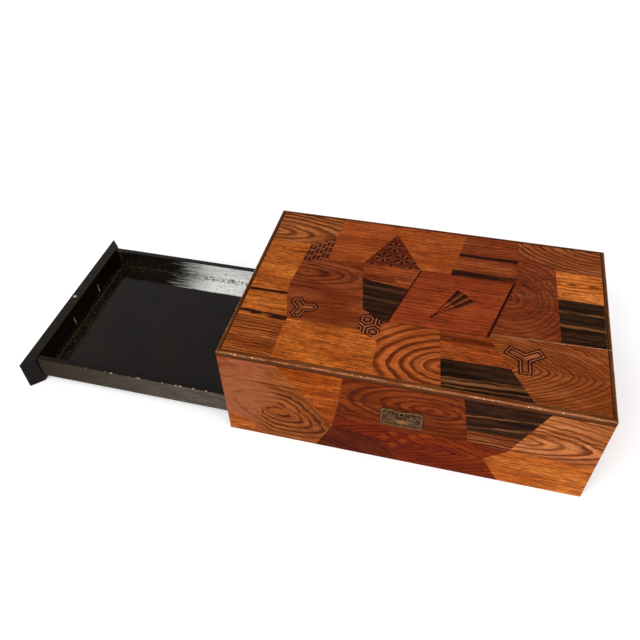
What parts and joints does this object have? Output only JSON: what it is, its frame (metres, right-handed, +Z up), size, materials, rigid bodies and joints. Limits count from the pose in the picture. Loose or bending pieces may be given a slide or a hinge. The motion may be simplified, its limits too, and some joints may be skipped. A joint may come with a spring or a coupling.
{
  "type": "travel writing desk",
  "caption": "Flat marquetry box that unfolds into a writing slope with hinged flaps, a pen tray, a front lock and a long drawer that pulls out of its left side.",
  "frame": {"origin": "centre of the box's underside, the plane it stands on", "axes": "+X to the right seen from the lock side, -Y towards the lock side (front), +Z up. The drawer pulls out along -X."},
  "size_m": [0.7132, 0.272, 0.144],
  "materials": {
    "carcass_wood": "plain softwood, oiled edges",
    "lacquered_wood": "glossy dark lacquer, worn at the edges",
    "marquetry_mid": "mixed brown veneers under clear varnish",
    "marquetry_light": "orange and honey veneers under clear varnish",
    "marquetry_dark": "dark inlay under clear varnish",
    "marquetry_ebony": "near-black streaked veneer under clear varnish",
    "moulding_wood": "dark reddish brown, polished",
    "brass": "tarnished"
  },
  "bodies": {
    "case": {"bottom_board": "carcass_wood", "case_front_wall": "carcass_wood", "case_back_wall": "carcass_wood", "case_left_wall": "carcass_wood", "case_right_wall": "carcass_wood", "dust_board": "carcass_wood", "drawer_guides": "carcass_wood", "pen_rail": "lacquered_wood", "pen_dividers": "lacquered_wood", "pen_tray_ledges": "lacquered_wood", "pen_tray": "lacquered_wood", "case_flap_ledges": "lacquered_wood", "case_hinge_rail": "lacquered_wood", "case_front_skin": "marquetry_mid", "case_back_skin": "marquetry_mid", "case_side_skins": "marquetry_mid", "lock_body": "brass", "lock_plate": "brass", "lock_plate_pins": "brass", "case_hinge_leaves": "brass", "hinge_pins": "brass", "case_hinge_screws": "brass", "case_flap_fixed_leaves": "brass"},
    "lid": {"lid_board": "carcass_wood", "lid_front_skirt": "carcass_wood", "lid_back_skirt": "carcass_wood", "lid_left_skirt": "carcass_wood", "lid_right_skirt": "carcass_wood", "front_moulding": "moulding_wood", "back_moulding": "moulding_wood", "left_moulding": "moulding_wood", "right_moulding": "moulding_wood", "top_light_tiles": "marquetry_light", "top_brown_tiles": "marquetry_mid", "top_ebony_tiles": "marquetry_ebony", "top_inlays": "marquetry_dark", "lid_front_skin": "marquetry_mid", "lid_back_skin": "marquetry_mid", "lid_side_skins": "marquetry_mid", "hook_plate": "brass", "lid_hinge_leaves": "brass", "lid_hinge_screws": "brass", "lid_flap_ledges": "lacquered_wood", "lid_hinge_rail": "lacquered_wood", "lid_flap_fixed_leaves": "brass"},
    "case_writing_flap": {"case_flap": "lacquered_wood", "case_flap_moving_leaves": "brass"},
    "lid_writing_flap": {"lid_flap": "lacquered_wood", "lid_flap_moving_leaves": "brass"},
    "bolt": {"lock_bolt": "brass"},
    "locking_pin": {"drawer_pin": "brass"},
    "drawer": {"drawer_front": "lacquered_wood", "drawer_front_skin": "marquetry_mid", "drawer_near_side": "lacquered_wood", "drawer_far_side": "lacquered_wood", "drawer_back": "lacquered_wood", "drawer_bottom": "lacquered_wood", "drawer_bush": "brass", "handle_posts": "brass"},
    "bail": {"bail_handle": "brass"}
  },
  "joints": [
    {"name": "lid_hinge", "type": "hinge", "parent": "case", "child": "lid", "pos_m": [0, 0.1347, 0.07215], "axis": [-1, 0, 0], "range_deg": [0, 180]},
    {"name": "case_flap_hinge", "type": "hinge", "parent": "case", "child": "case_writing_flap", "pos_m": [0, 0.10364, 0.0733], "axis": [-1, 0, 0], "range_deg": [0, 81]},
    {"name": "lid_flap_hinge", "type": "hinge", "parent": "lid", "child": "lid_writing_flap", "pos_m": [0, 0.10412, 0.07768], "axis": [1, 0, 0], "range_deg": [0, 81]},
    {"name": "drawer_slide", "type": "slide", "parent": "case", "child": "drawer", "axis": [1, 0, 0], "range_m": [-0.03, 0.2846]},
    {"name": "handle_swing", "type": "hinge", "parent": "drawer", "child": "bail", "pos_m": [-0.4996, 0.009, 0.0226], "axis": [0, 1, 0], "range_deg": [0, 95]},
    {"name": "lock_bolt_slide", "type": "slide", "parent": "case", "child": "bolt", "axis": [1, 0, 0], "range_m": [0, 0.0045]},
    {"name": "locking_pin_slide", "type": "slide", "parent": "case", "child": "locking_pin", "axis": [0, 0, -1], "range_m": [0, 0.008]}
  ],
  "couplings": [
    {"joint": "case_flap_hinge", "follows": "lid_hinge", "ratio": 0.45},
    {"joint": "lid_flap_hinge", "follows": "lid_hinge", "ratio": 0.45}
  ]
}
